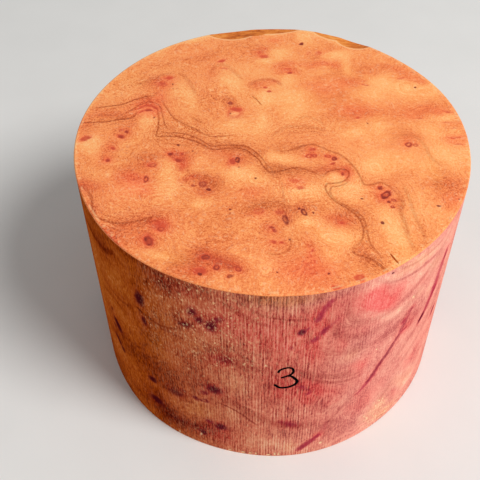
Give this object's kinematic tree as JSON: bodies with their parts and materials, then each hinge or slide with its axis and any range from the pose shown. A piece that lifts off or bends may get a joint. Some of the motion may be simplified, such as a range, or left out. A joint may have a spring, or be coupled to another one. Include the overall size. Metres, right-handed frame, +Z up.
{
  "type": "wood turning blank",
  "caption": "Round block of figured burl wood for turning on a lathe, with flat sawn faces, a bandsawn wall and a little wane at the rim.",
  "frame": {"origin": "centre of the lower sawn face, on the surface that the block stands on", "axes": "+Z up through the block's height, +X to the right and +Y away from the viewer as the picture shows the block"},
  "size_m": [0.1521, 0.152, 0.11],
  "materials": {
    "burl_wood": "bare figured burl, smooth on its two flat faces and rough from the saw round its wall"
  },
  "bodies": {
    "root": {"turning_blank": "burl_wood"}
  },
  "joints": []
}
